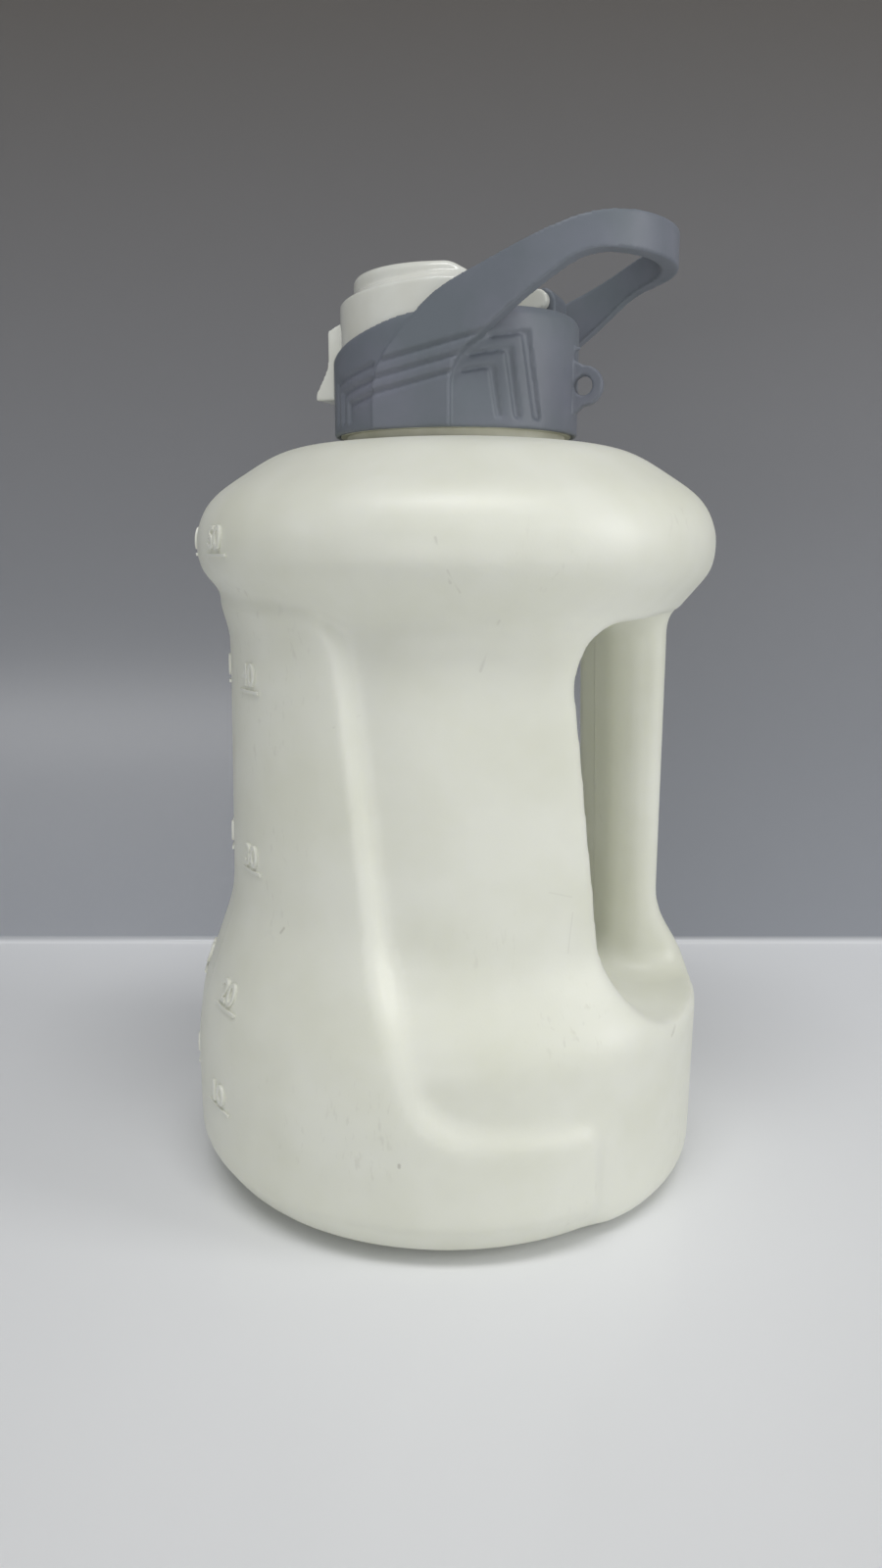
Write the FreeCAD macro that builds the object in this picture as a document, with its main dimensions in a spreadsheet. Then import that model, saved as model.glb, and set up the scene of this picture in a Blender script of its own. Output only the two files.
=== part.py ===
import FreeCAD, Part
import math
import os
import Sketcher
from FreeCAD import Placement, Rotation, Vector

# A half-gallon sports water jug, shut: a blow-moulded jug with a side handle, and a screw cap
# with a soft grey sleeve that ends in a carrying strap, and a glossy flip lid.
# Row frame: origin at the centre of the base, +Z up, +X towards the handle, millimetres.
# The cap is modelled in its own frame, X towards its hinge, and is turned about Z by cap_turn.

SIZES = [
    # jug, profile on the grip side; a value that starts with "=" follows the sizes it names
    ("bulge_radius", 61.6),
    ("base_tuck", 0.6),
    ("base_radius", "=bulge_radius - base_tuck"),
    ("base_round", 7.9),
    ("foot_inset", 8.0),
    ("foot_radius", "=base_radius - foot_inset"),
    ("bulge_top", 47.3),
    ("bulge_round", 14.0),
    ("waist_inset", 10.6),
    ("waist_radius", "=bulge_radius - waist_inset"),
    ("waist_slope", 14.7),
    ("waist_bottom", "=bulge_top + waist_slope"),
    ("waist_bottom_round", 18.0),
    ("waist_length", 76.0),
    ("waist_top", "=waist_bottom + waist_length"),
    ("waist_top_round", 6.0),
    ("shoulder_tuck", 0.2),
    ("shoulder_radius", "=bulge_radius - shoulder_tuck"),
    ("shoulder_slope", 10.8),
    ("shoulder_bottom", "=waist_top + shoulder_slope"),
    ("shoulder_bottom_round", 10.0),
    ("shoulder_length", 13.5),
    ("shoulder_top", "=shoulder_bottom + shoulder_length"),
    ("shoulder_round", 14.0),
    ("crown_inset", 20.1),
    ("crown_radius", "=shoulder_radius - crown_inset"),
    ("crown_rise", 13.1),
    ("crown_level", "=shoulder_top + crown_rise"),
    ("crown_round", 25.0),
    ("neck_radius", 27.0),
    ("neck_rise", 1.6),
    ("jug_top", "=crown_level + neck_rise"),
    # jug, profile of the raised front panel on its centreline
    ("panel_flare_tuck", 0.4),
    ("panel_flare_radius", "=base_radius - panel_flare_tuck"),
    ("panel_flare_level", 2.8),
    ("panel_flare_round", 4.0),
    ("panel_low_raise", 4.3),
    ("panel_radius", "=bulge_radius + panel_low_raise"),
    ("panel_low_level", 10.5),
    ("panel_low_round", 6.0),
    ("panel_lean_drop", 13.3),
    ("panel_lean_level", "=bulge_top - panel_lean_drop"),
    ("panel_lean_round", 60.0),
    ("panel_bulge_raise", 2.4),
    ("panel_bulge_radius", "=bulge_radius + panel_bulge_raise"),
    ("panel_bulge_lift", 0.2),
    ("panel_bulge_top", "=bulge_top + panel_bulge_lift"),
    ("panel_bulge_round", 20.0),
    ("panel_waist_raise", 4.7),
    ("panel_waist_radius", "=waist_radius + panel_waist_raise"),
    ("panel_waist_lift", 8.5),
    ("panel_waist_bottom", "=waist_bottom + panel_waist_lift"),
    ("panel_waist_round", 30.0),
    ("panel_neck_raise", 3.4),
    ("panel_neck_radius", "=waist_radius + panel_neck_raise"),
    ("panel_neck_drop", 5.0),
    ("panel_waist_top", "=waist_top - panel_neck_drop"),
    ("panel_neck_round", 16.0),
    ("panel_shoulder_drop", 4.3),
    ("panel_shoulder_level", "=shoulder_top - panel_shoulder_drop"),
    ("panel_shoulder_round", 12.0),
    ("panel_crest_round", 6.0),
    ("panel_shift", 2.3),
    # outline of the raised panel, as angles from the front centreline and heights
    ("panel_top_rise", 3.0),
    ("panel_top_level", "=waist_top + panel_top_rise"),
    ("panel_corner_angle", 42.6),
    ("panel_corner_rise", 0.8),
    ("panel_corner_level", "=waist_top + panel_corner_rise"),
    ("panel_corner_round", 11.0),
    ("panel_knee_angle", 52.6),
    ("panel_knee_rise", 4.0),
    ("panel_knee_level", "=waist_bottom + panel_knee_rise"),
    ("panel_knee_round", 40.0),
    ("panel_elbow_angle", 65.5),
    ("panel_elbow_drop", 17.0),
    ("panel_elbow_level", "=bulge_top - panel_elbow_drop"),
    ("panel_elbow_round", 17.0),
    ("panel_flag_angle", 100.7),
    ("panel_flag_drop", 20.0),
    ("panel_flag_level", "=bulge_top - panel_flag_drop"),
    ("panel_flag_round", 3.5),
    ("ramp_width", 3.8),
    ("ramp_foot_spread", 12.0),
    ("ramp_foot_level", 12.0),
    # base and handle
    ("foot_ring_width", 9.0),
    ("pushup_radius", "=foot_radius - foot_ring_width"),
    ("pushup_depth", 3.0),
    ("gap_arch_drop", 1.0),
    ("gap_top_inner", "=waist_top - gap_arch_drop"),
    ("gap_arch_rise", 2.2),
    ("gap_top_outer", "=waist_top + gap_arch_rise"),
    ("gap_floor_drop", 2.4),
    ("gap_floor", "=bulge_top - gap_floor_drop"),
    ("gap_top_round", 13.0),
    ("gap_floor_round", 25.0),
    ("handle_proud", 1.7),
    ("handle_radius", "=waist_radius + handle_proud"),
    ("handle_blend_from", 138.0),
    ("handle_blend_to", 156.0),
    ("handle_width", 32.0),
    ("handle_depth_top", 15.5),
    ("handle_inner_top", "=handle_radius - handle_depth_top"),
    ("handle_depth_bottom", 12.3),
    ("handle_inner_bottom", "=handle_radius - handle_depth_bottom"),
    ("handle_inner_round", 9.0),
    ("handle_outer_round", 5.0),
    ("handle_root_round", 7.0),
    ("handle_lap_top", 15.0),
    ("handle_lap_bottom", 17.0),
    ("handle_span_lap", 31.7),
    ("handle_span", "=gap_top_outer - gap_floor + handle_span_lap"),
    ("gap_width_top", 29.0),
    ("gap_wall_top", "=handle_inner_top - gap_width_top"),
    ("gap_width_bottom", 19.4),
    ("gap_wall_bottom", "=handle_inner_bottom - gap_width_bottom"),
    # cap base
    ("cap_turn", -39.0),
    ("ring_inset", 1.3),
    ("ring_radius", "=neck_radius - ring_inset"),
    ("ring_height", 1.6),
    ("cap_base_lap", 0.1),
    ("cap_base_radius", "=neck_radius + cap_base_lap"),
    ("cap_base_height", 19.0),
    ("cap_top", "=jug_top + cap_base_height"),
    ("fit_clearance", 0.15),
    # sleeve
    ("sleeve_wall", 1.25),
    ("sleeve_radius", "=cap_base_radius + fit_clearance + sleeve_wall"),
    ("sleeve_latch_drop", 1.0),
    ("sleeve_latch_level", "=cap_top - sleeve_latch_drop"),
    ("sleeve_front_rise", 6.6),
    ("sleeve_front_level", "=cap_top + sleeve_front_rise"),
    ("sleeve_hinge_rise", 8.6),
    ("sleeve_hinge_level", "=cap_top + sleeve_hinge_rise"),
    ("sleeve_rim_round", 2.2),
    ("sleeve_crest_round", 60.0),
    ("lid_clearance", 0.3),
    ("hinge_wall_inset", 10.9),
    ("hinge_wall", "=sleeve_radius - hinge_wall_inset"),
    # strap
    ("strap_proud", 0.3),
    ("strap_half_width", "=sleeve_radius + strap_proud"),
    ("strap_thickness", 4.0),
    ("strap_overhang", 22.2),
    ("strap_reach", "=sleeve_radius + strap_overhang"),
    ("strap_pad_half", 9.0),
    ("strap_pad_drop", 4.7),
    ("strap_pad_top", "=cap_top - strap_pad_drop"),
    ("strap_pad_round", 14.0),
    ("strap_rise_reach", 4.7),
    ("strap_rise", 9.8),
    ("strap_rise_level", "=cap_top + strap_rise"),
    ("strap_rise_round", 30.0),
    ("strap_crest_back", 10.7),
    ("strap_crest_reach", "=strap_reach - strap_crest_back"),
    ("strap_crest_rise", 24.5),
    ("strap_crest_level", "=cap_top + strap_crest_rise"),
    ("strap_crest_round", 40.0),
    ("strap_tip_rise", 0.5),
    ("strap_tip_top", "=strap_crest_level + strap_tip_rise"),
    ("strap_root_drop", 4.0),
    ("strap_root_level", "=cap_top - strap_root_drop"),
    ("strap_root_round", 10.0),
    ("strap_belly_back", 13.7),
    ("strap_belly_reach", "=strap_reach - strap_belly_back"),
    ("strap_belly_depth", 7.7),
    ("strap_belly_level", "=strap_crest_level - strap_belly_depth"),
    ("strap_belly_round", 16.0),
    ("strap_tip_depth", 7.7),
    ("strap_tip_bottom", "=strap_tip_top - strap_tip_depth"),
    # grooves: three nested arches on each flank of the sleeve
    ("groove_width", 1.4),
    ("groove_depth", 0.65),
    ("groove_foot", 1.9),
    ("groove_left_inset", 6.6),
    ("groove_left", "=sleeve_radius - groove_left_inset"),
    ("groove_left_drop", 6.4),
    ("groove_left_level", "=cap_top - groove_left_drop"),
    ("groove_right_inset", 6.2),
    ("groove_right", "=sleeve_radius - groove_right_inset"),
    ("groove_splay", 2.0),
    ("groove_right_foot", "=groove_right + groove_splay"),
    ("groove_right_rise", 2.3),
    ("groove_right_level", "=cap_top + groove_right_rise"),
    ("groove_pitch_left", 2.65),
    ("groove_pitch_right", 2.8),
    ("groove_pitch_foot", 3.1),
    ("groove_drop_left", 2.6),
    ("groove_drop_right", 3.6),
    # eyelet and moulding nub
    ("eyelet_stand_off", 2.4),
    ("eyelet_reach", "=sleeve_radius + eyelet_stand_off"),
    ("eyelet_drop", 6.9),
    ("eyelet_level", "=cap_top - eyelet_drop"),
    ("eyelet_radius", 4.4),
    ("eyelet_hole_radius", 2.1),
    ("eyelet_thickness", 2.2),
    ("eyelet_root_up", 6.4),
    ("eyelet_root_down", 7.6),
    ("nub_rise", 1.2),
    ("nub_level", "=cap_top + nub_rise"),
    ("nub_length", 1.4),
    ("nub_reach", "=sleeve_radius + nub_length"),
    ("nub_root_radius", 0.9),
    ("nub_tip_radius", 0.35),
    # flip lid
    ("sleeve_lip", 1.3),
    ("lid_radius", "=sleeve_radius - sleeve_lip - lid_clearance"),
    ("lid_latch_rise", 13.2),
    ("lid_latch_level", "=cap_top + lid_latch_rise"),
    ("lid_crest_reach", 8.0),
    ("lid_crest_rise", 2.2),
    ("lid_crest_level", "=lid_latch_level + lid_crest_rise"),
    ("lid_hinge_drop", 2.6),
    ("lid_hinge_level", "=lid_latch_level - lid_hinge_drop"),
    ("lid_crest_round", 35.0),
    ("ledge_width", 3.7),
    ("ledge_drop", 2.2),
    ("dome_inset", 3.2),
    ("dome_radius", "=lid_radius - dome_inset"),
    ("dome_rise", 4.5),
    ("dome_level", "=lid_latch_level + dome_rise"),
    ("dome_break", 6.5),
    ("dome_sag", 0.6),
    ("dome_break_level", "=dome_level - dome_sag"),
    ("dome_break_round", 6.0),
    ("dome_end", 12.5),
    ("dome_end_drop", 3.9),
    ("dome_end_level", "=dome_level - dome_end_drop"),
    ("dome_round", 1.6),
    # latch tab
    ("latch_half_width", 6.0),
    ("latch_clearance", 0.35),
    ("latch_thickness", 1.5),
    ("latch_drop", 4.0),
    ("latch_top", "=lid_latch_level - latch_drop"),
    ("latch_bridge", 1.6),
    ("latch_seat_rise", 2.2),
    ("latch_seat_level", "=sleeve_latch_level + latch_seat_rise"),
    ("latch_bend_drop", 0.5),
    ("latch_bend_level", "=cap_top - latch_bend_drop"),
    ("latch_lip_stand_off", 5.3),
    ("latch_lip_reach", "=sleeve_radius + latch_lip_stand_off"),
    ("latch_length", 8.0),
    ("latch_bottom", "=cap_top - latch_length"),
    ("latch_lip_height", 1.3),
    ("latch_lip_level", "=latch_bottom + latch_lip_height"),
    ("latch_bend_round", 6.0),
    # hinge
    ("pin_inset", 6.5),
    ("pin_reach", "=sleeve_radius - pin_inset"),
    ("pin_rise", 2.0),
    ("pin_level", "=sleeve_hinge_level + pin_rise"),
    ("pin_radius", 1.3),
    ("lug_radius", 2.2),
    ("lug_inner", 5.6),
    ("lug_outer", 8.6),
    ("hook_half_width", 4.8),
    ("hook_clearance", 0.35),
    ("hook_thickness", 1.5),
    ("hook_lip", 0.3),
    ("hook_mouth", 6.0),
    ("hook_heel_depth", 4.0),
    # roots that pieces of one moulding bite into each other
    ("eyelet_bite", 1.5),
    ("nub_bite", 0.5),
    ("latch_bite", 3.0),
    ("lug_bite", 3.0),
    ("dome_bite", 6.0),
    # how far a cutting solid runs past what it cuts
    ("tool_reach", 20.0),
]

CELLS = "sizes"
TILT_REFERENCE = 60.0      # radius on which the panel's outline is unrolled
COLUMN_STEP = 1.2          # angle between the skin's sections across the panel's ramp
COARSE_STEP = 6.0          # and on the plain round part behind it


# ---------------------------------------------------------------- document and helpers

def open_document():
    doc = FreeCAD.newDocument("sports_jug")
    sheet = doc.addObject("Spreadsheet::Sheet", CELLS)
    for row, (name, _) in enumerate(SIZES, start=1):
        sheet.set("A%d" % row, name)
        sheet.setAlias("B%d" % row, name)
    for row, (_, value) in enumerate(SIZES, start=1):
        sheet.set("B%d" % row, str(value))
    doc.recompute()
    return doc, sheet


doc, sheet = open_document()


def size(name):
    return float(sheet.get(name))


def cell(name):
    return CELLS + "." + name


OVER = " + " + cell("tool_reach")
HALF_OVER = " + 0.5 * " + cell("tool_reach")


def new_body(name, on_cap=False):
    body = doc.addObject("PartDesign::Body", name)
    body.Label = name
    if on_cap:
        body.Placement = Placement(Vector(), Rotation(Vector(0, 0, 1), size("cap_turn")))
        body.setExpression("Placement.Rotation.Angle", cell("cap_turn"))
    return body


def origin_plane(body, role):
    for feature in body.Origin.OriginFeatures:
        if feature.Role == role:
            return feature
    raise ValueError("no origin plane " + role)


def new_sketch(body, name, role):
    sketch = body.newObject("Sketcher::SketchObject", name)
    sketch.AttachmentSupport = [(origin_plane(body, role), "")]
    sketch.MapMode = "FlatFace"
    return sketch


def pin_point(sketch, line, end, horizontal, vertical):
    """Tie one point of the sketch to two expressions, measured from its origin."""
    point = sketch.getPoint(line, end)
    for kind, value, expression in (("DistanceX", point.x, horizontal),
                                    ("DistanceY", point.y, vertical)):
        index = sketch.addConstraint(Sketcher.Constraint(kind, -1, 1, line, end, value))
        sketch.setExpression("Constraints[%d]" % index, expression)


def polygon(body, name, role, corners):
    """A closed straight-sided sketch. Each corner is a pair of expressions."""
    sketch = new_sketch(body, name, role)
    count = len(corners)
    spots = [Vector(math.cos(2 * math.pi * k / count), math.sin(2 * math.pi * k / count), 0) * 50
             for k in range(count)]
    for k in range(count):
        sketch.addGeometry(Part.LineSegment(spots[k], spots[(k + 1) % count]))
    for k in range(count):
        sketch.addConstraint(Sketcher.Constraint("Coincident", k, 2, (k + 1) % count, 1))
    for k, (horizontal, vertical) in enumerate(corners):
        pin_point(sketch, k, 1, horizontal, vertical)
    return sketch


def ring(body, name, role, radii, centre=None):
    """Concentric circles, with their radii and centre given as expressions."""
    sketch = new_sketch(body, name, role)
    for radius in radii:
        k = sketch.addGeometry(Part.Circle(Vector(1, 1, 0), Vector(0, 0, 1), 5))
        index = sketch.addConstraint(Sketcher.Constraint("Radius", k, 5))
        sketch.setExpression("Constraints[%d]" % index, radius)
        if centre:
            pin_point(sketch, k, 3, centre[0], centre[1])
        else:
            sketch.addConstraint(Sketcher.Constraint("Coincident", k, 3, -1, 1))
    return sketch


def both_ways(body, kind, name, sketch, length):
    """A pad or pocket, half to each side of its sketch."""
    feature = body.newObject("PartDesign::" + kind, name)
    feature.Profile = sketch
    feature.Midplane = True
    feature.setExpression("Length", length)
    doc.recompute()
    return feature


def between(body, kind, name, sketch, start, length):
    """A pad or pocket of a flat XY sketch, from the height start upwards."""
    sketch.setExpression("AttachmentOffset.Base.z", start)
    feature = body.newObject("PartDesign::" + kind, name)
    feature.Profile = sketch
    if kind == "Pocket":
        feature.Reversed = True
    feature.setExpression("Length", length)
    doc.recompute()
    return feature


def edge_names(feature, wanted):
    return ["Edge%d" % k for k, edge in enumerate(feature.Shape.Edges, start=1) if wanted(edge)]


def dress(body, kind, name, base, wanted, value):
    """Fillet or chamfer the edges of base that wanted() picks."""
    feature = body.newObject("PartDesign::" + kind, name)
    feature.Base = (base, edge_names(base, wanted))
    feature.setExpression("Radius" if kind == "Fillet" else "Size", value)
    doc.recompute()
    return feature


def across(edge):
    """True for a straight edge that runs along Y."""
    return (edge.BoundBox.YLength > 1.0 and edge.BoundBox.XLength < 1e-4
            and edge.BoundBox.ZLength < 1e-4)


def corner_at(reach, level, tolerance=0.01):
    """Pick the Y edges whose corner lies at this X and Z."""
    def wanted(edge):
        point = edge.CenterOfMass
        return across(edge) and abs(point.x - reach) < tolerance and abs(point.z - level) < tolerance
    return wanted


def combine(body, kind, name, others):
    feature = body.newObject("PartDesign::Boolean", name)
    feature.setObjects(others)
    feature.Type = kind
    doc.recompute()
    return feature


# ---------------------------------------------------------------- jug

def rounded(corners):
    """Edges of an open outline of (x, y, radius) corners, each corner an arc."""
    points = [Vector(x, y, 0) for x, y, _ in corners]
    edges = []
    start = points[0]
    for k in range(1, len(points) - 1):
        back = (points[k - 1] - points[k]).normalize()
        ahead = (points[k + 1] - points[k]).normalize()
        radius = corners[k][2]
        half = back.getAngle(ahead) / 2
        first = points[k] + back * (radius / math.tan(half))
        last = points[k] + ahead * (radius / math.tan(half))
        middle = points[k] + (back + ahead).normalize() * (radius / math.sin(half) - radius)
        edges.append(Part.LineSegment(start, first).toShape())
        edges.append(Part.Arc(first, middle, last).toShape())
        start = last
    edges.append(Part.LineSegment(start, points[-1]).toShape())
    return edges


def sampled(edges, count):
    points = [edges[0].Vertexes[0].Point]
    for edge in edges:
        points += [p for p in edge.discretize(count) if (p - points[-1]).Length > 1e-7]
    return points


def radius_at(points, level):
    for low, high in zip(points, points[1:]):
        if low.y <= level <= high.y and high.y > low.y:
            return low.x + (high.x - low.x) * (level - low.y) / (high.y - low.y)
    return points[-1].x


def grip_corners(waist="waist_radius"):
    """The round profile that the grips, base, shoulder and neck share."""
    return [
        (size("foot_radius"), 0.0, 0.0),
        (size("base_radius"), 0.0, size("base_round")),
        (size("bulge_radius"), size("bulge_top"), size("bulge_round")),
        (size(waist), size("waist_bottom"), size("waist_bottom_round")),
        (size(waist), size("waist_top"), size("waist_top_round")),
        (size("shoulder_radius"), size("shoulder_bottom"), size("shoulder_bottom_round")),
        (size("shoulder_radius"), size("shoulder_top"), size("shoulder_round")),
        (size("crown_radius"), size("crown_level"), size("crown_round")),
        (size("neck_radius"), size("jug_top"), 0.0),
    ]


def panel_corners():
    """The profile down the middle of the raised front panel."""
    return [
        (size("foot_radius"), 0.0, 0.0),
        (size("panel_flare_radius"), size("panel_flare_level"), size("panel_flare_round")),
        (size("panel_radius"), size("panel_low_level"), size("panel_low_round")),
        (size("panel_radius"), size("panel_lean_level"), size("panel_lean_round")),
        (size("panel_bulge_radius"), size("panel_bulge_top"), size("panel_bulge_round")),
        (size("panel_waist_radius"), size("panel_waist_bottom"), size("panel_waist_round")),
        (size("panel_neck_radius"), size("panel_waist_top"), size("panel_neck_round")),
        (size("shoulder_radius"), size("panel_shoulder_level"), size("panel_shoulder_round")),
        (size("shoulder_radius"), size("shoulder_top"), size("panel_crest_round")),
        (size("crown_radius"), size("crown_level"), size("crown_round")),
        (size("neck_radius"), size("jug_top"), 0.0),
    ]


def unrolled(angle):
    return math.radians(angle) * TILT_REFERENCE


def panel_outline():
    """One half of the panel's outline, unrolled: across the front, down the side, round the flag."""
    corners = [
        (0.0, size("panel_top_level"), 0.0),
        (unrolled(size("panel_corner_angle")), size("panel_corner_level"), size("panel_corner_round")),
        (unrolled(size("panel_knee_angle")), size("panel_knee_level"), size("panel_knee_round")),
        (unrolled(size("panel_elbow_angle")), size("panel_elbow_level"), size("panel_elbow_round")),
        (unrolled(size("panel_flag_angle")), size("panel_flag_level"), size("panel_flag_round")),
        (unrolled(size("panel_flag_angle")), -2 * size("ramp_width"), 0.0),
    ]
    return sampled(rounded(corners), 12)


def outside_by(outline, x, y):
    """Distance from the unrolled point to the outline, negative inside the panel."""
    nearest = None
    inside = False
    closed = outline + [Vector(0, outline[-1].y, 0)]
    for k, start in enumerate(closed):
        end = closed[(k + 1) % len(closed)]
        if k < len(outline) - 1:
            run = end - start
            share = ((x - start.x) * run.x + (y - start.y) * run.y) / (run.x ** 2 + run.y ** 2)
            share = max(0.0, min(1.0, share))
            gap = math.hypot(x - start.x - share * run.x, y - start.y - share * run.y)
            nearest = gap if nearest is None else min(nearest, gap)
        if (start.y > y) != (end.y > y):
            if x < start.x + (y - start.y) * (end.x - start.x) / (end.y - start.y):
                inside = not inside
    return -nearest if inside else nearest


def eased(share):
    share = max(0.0, min(1.0, share))
    return share * share * (3 - 2 * share)


def skin_angles():
    """Section angles from the front, close together where the ramp crosses them."""
    close_from = size("panel_corner_angle") - 8
    close_to = size("panel_flag_angle") + math.degrees(size("ramp_width") / TILT_REFERENCE) + 4
    half = [0.0]
    while half[-1] < 180:
        fine = close_from < half[-1] < close_to
        half.append(half[-1] + (COLUMN_STEP if fine else COARSE_STEP))
    half = [a * 180 / half[-1] for a in half]
    return half[:-1] + [360 - a for a in half[:0:-1]]


def skin_levels():
    """Section heights up to the shoulder, closer at the base, the flag and the shoulder."""
    marks = [
        (0.0, 0.5), (2.0, 1.1), (6.0, 1.5), (12.0, 3.0), (size("panel_flag_level") - 3, 1.6),
        (size("panel_flag_level") + 12, 2.2), (size("waist_bottom"), 3.0),
        (size("waist_bottom") + 10, 6.5), (size("waist_top") - 8, 1.6), (size("shoulder_bottom"), 2.2),
    ]
    top = size("shoulder_top") - size("shoulder_round") / 2
    levels = [0.0]
    while levels[-1] < top:
        step = [s for start, s in marks if start <= levels[-1] + 1e-6][-1]
        levels.append(min(top, levels[-1] + step))
    return levels


def jug_skin():
    """The blown skin: one smooth surface through sections that fade between two profiles.

    Inside the outline the section follows the panel's profile, about an axis that is shifted
    to the front; outside it follows the round grip profile; a soft ramp joins the two.
    """
    grip = sampled(rounded(grip_corners()), 40)
    handle = sampled(rounded(grip_corners("handle_radius")), 40)
    panel = sampled(rounded(panel_corners()), 40)
    outline = panel_outline()
    angles = skin_angles()
    levels = skin_levels()
    rows = []
    for level in levels:
        plain = radius_at(grip, level)
        fuller = radius_at(handle, level) - plain
        low = max(0.0, 1 - level / size("ramp_foot_level"))
        ramp = size("ramp_width") + size("ramp_foot_spread") * low * low
        raised = radius_at(panel, level)
        row = []
        for angle in angles:
            turn = angle if angle <= 180 else 360 - angle
            gap = outside_by(outline, unrolled(turn), level)
            share = 1 - eased(gap / ramp)
            front = raised - size("panel_shift") * (1 - math.cos(math.radians(turn)))
            behind = eased((turn - size("handle_blend_from"))
                           / (size("handle_blend_to") - size("handle_blend_from")))
            radius = plain + (front - plain) * share + fuller * behind
            heading = math.radians(180 - angle)
            row.append(Vector(radius * math.cos(heading), radius * math.sin(heading), level))
        rows.append(row)
    above = [p for p in grip if p.y > levels[-1] + 1.0]
    stride = max(1, len(above) // 12)
    for point in above[:-1:stride] + [above[-1]]:
        rows.append([Vector(point.x * math.cos(math.radians(180 - angle)),
                            point.x * math.sin(math.radians(180 - angle)), point.y)
                     for angle in angles])
    return rows


def jug_blank():
    rows = jug_skin()
    count = len(rows)
    columns = len(rows[0])
    surface = Part.BSplineSurface()
    surface.buildFromPolesMultsKnots(
        rows, [4] + [1] * (count - 4) + [4], [1] * (columns + 1),
        list(range(count - 2)), list(range(columns + 1)), False, True, 3, 3)
    skin = surface.toShape()
    rims = [edge for edge in skin.Edges if edge.BoundBox.ZLength < 1e-3]
    shell = Part.makeCompound([skin] + [Part.Face(Part.Wire(edge)) for edge in rims])
    shell.sewShape(1e-5)
    solid = Part.Solid(shell.Shells[0])
    if solid.Volume < 0:
        solid.reverse()
    return solid


def handle_gap():
    """What the mould leaves open: the space behind and beside the handle."""
    beyond = cell("shoulder_radius") + OVER
    body = new_body("handle_gap")
    corners = [
        (cell("gap_wall_top"), cell("gap_top_inner")),
        (cell("gap_wall_bottom"), cell("gap_floor")),
        (beyond, cell("gap_floor")),
        (beyond, cell("gap_top_outer")),
    ]
    outline = polygon(body, "gap_outline", "XZ_Plane", corners)
    block = both_ways(body, "Pad", "gap_block", outline, "3 * " + cell("shoulder_radius"))
    block = dress(body, "Fillet", "gap_arch", block,
                  corner_at(size("gap_wall_top"), size("gap_top_inner")), cell("gap_top_round"))
    block = dress(body, "Fillet", "gap_heel", block,
                  corner_at(size("gap_wall_bottom"), size("gap_floor")), cell("gap_floor_round"))
    return body, block


def handle_core():
    """The handle: a slice of the jug's own round form, kept between the two grips."""
    low = size("gap_floor") - size("handle_lap_bottom")
    high = size("gap_top_outer") + size("handle_lap_top")
    beyond = size("shoulder_radius") + 1.5 * size("tool_reach")
    slope = (size("handle_inner_bottom") - size("handle_inner_top")) / size("handle_span")
    middle = (low + high) / 2
    inner = (size("handle_inner_top") + size("handle_inner_bottom")) / 2
    side = [
        Vector(inner - slope * (high - middle), 0, high),
        Vector(inner + slope * (middle - low), 0, low),
        Vector(beyond, 0, low),
        Vector(beyond, 0, high),
    ]
    width = size("handle_width")
    block = Part.Face(Part.makePolygon(side + side[:1])).extrude(Vector(0, width, 0))
    block.translate(Vector(0, -width / 2, 0))
    inner_edges = [e for e in block.Edges
                   if e.BoundBox.XMax < size("waist_radius") and e.BoundBox.ZLength > 50]
    block = block.makeFillet(size("handle_inner_round"), inner_edges)
    skin_lap = 0.05
    profile = [(x + skin_lap, y, r) for x, y, r in grip_corners("handle_radius")]
    wire = rounded(profile)
    ends = [Vector(profile[-1][0], profile[-1][1], 0), Vector(0, profile[-1][1], 0),
            Vector(0, 0, 0), Vector(profile[0][0], 0, 0)]
    wire += [Part.LineSegment(a, b).toShape() for a, b in zip(ends, ends[1:])]
    face = Part.Face(Part.Wire(Part.__sortEdges__(wire)))
    face.rotate(Vector(), Vector(1, 0, 0), 90)
    lathe = face.revolve(Vector(), Vector(0, 0, 1), 360)
    core = block.common(lathe).Solids[0]
    outer_edges = [
        e for e in core.Edges
        if all(abs(abs(v.Point.y) - width / 2) < 1e-4 for v in e.Vertexes)
        and e.BoundBox.XMin > size("handle_inner_bottom") + size("handle_inner_round") - 2
        and e.BoundBox.ZLength > 1
    ]
    return core.makeFillet(size("handle_outer_round"), outer_edges)


def make_jug():
    blank = doc.addObject("Part::Feature", "jug_blank")
    blank.Shape = jug_blank()
    gap_body, _ = handle_gap()
    core = doc.addObject("Part::Feature", "handle_core")
    core.Shape = handle_core()
    doc.recompute()
    void = doc.addObject("Part::Cut", "handle_void")
    void.Base = gap_body
    void.Tool = core
    doc.recompute()

    half = size("handle_width") / 2

    def at_root(edge):
        box = edge.BoundBox
        return (box.XMin > size("handle_inner_top") - 1.5 and box.XMax < size("shoulder_radius") + 0.6
                and box.YMax <= half + 0.01 and box.YMin >= -half - 0.01 and box.ZLength < 6)

    rooted = doc.addObject("Part::Fillet", "handle_roots")
    rooted.Base = void
    radius = size("handle_root_round")
    rooted.Edges = [(k, radius, radius) for k, edge in enumerate(void.Shape.Edges, start=1)
                    if at_root(edge)]
    doc.recompute()

    pushup = doc.addObject("Part::Cone", "base_pushup")
    pushup.setExpression("Radius1", cell("pushup_radius"))
    pushup.setExpression("Radius2", cell("pushup_radius") + " - 2 * " + cell("pushup_depth"))
    pushup.setExpression("Height", cell("pushup_depth"))
    stood = doc.addObject("Part::Cut", "jug_on_foot")
    stood.Base = blank
    stood.Tool = pushup
    jug = doc.addObject("Part::Cut", "jug")
    jug.Base = stood
    jug.Tool = rooted
    doc.recompute()
    return jug


# ---------------------------------------------------------------- cap base

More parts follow.
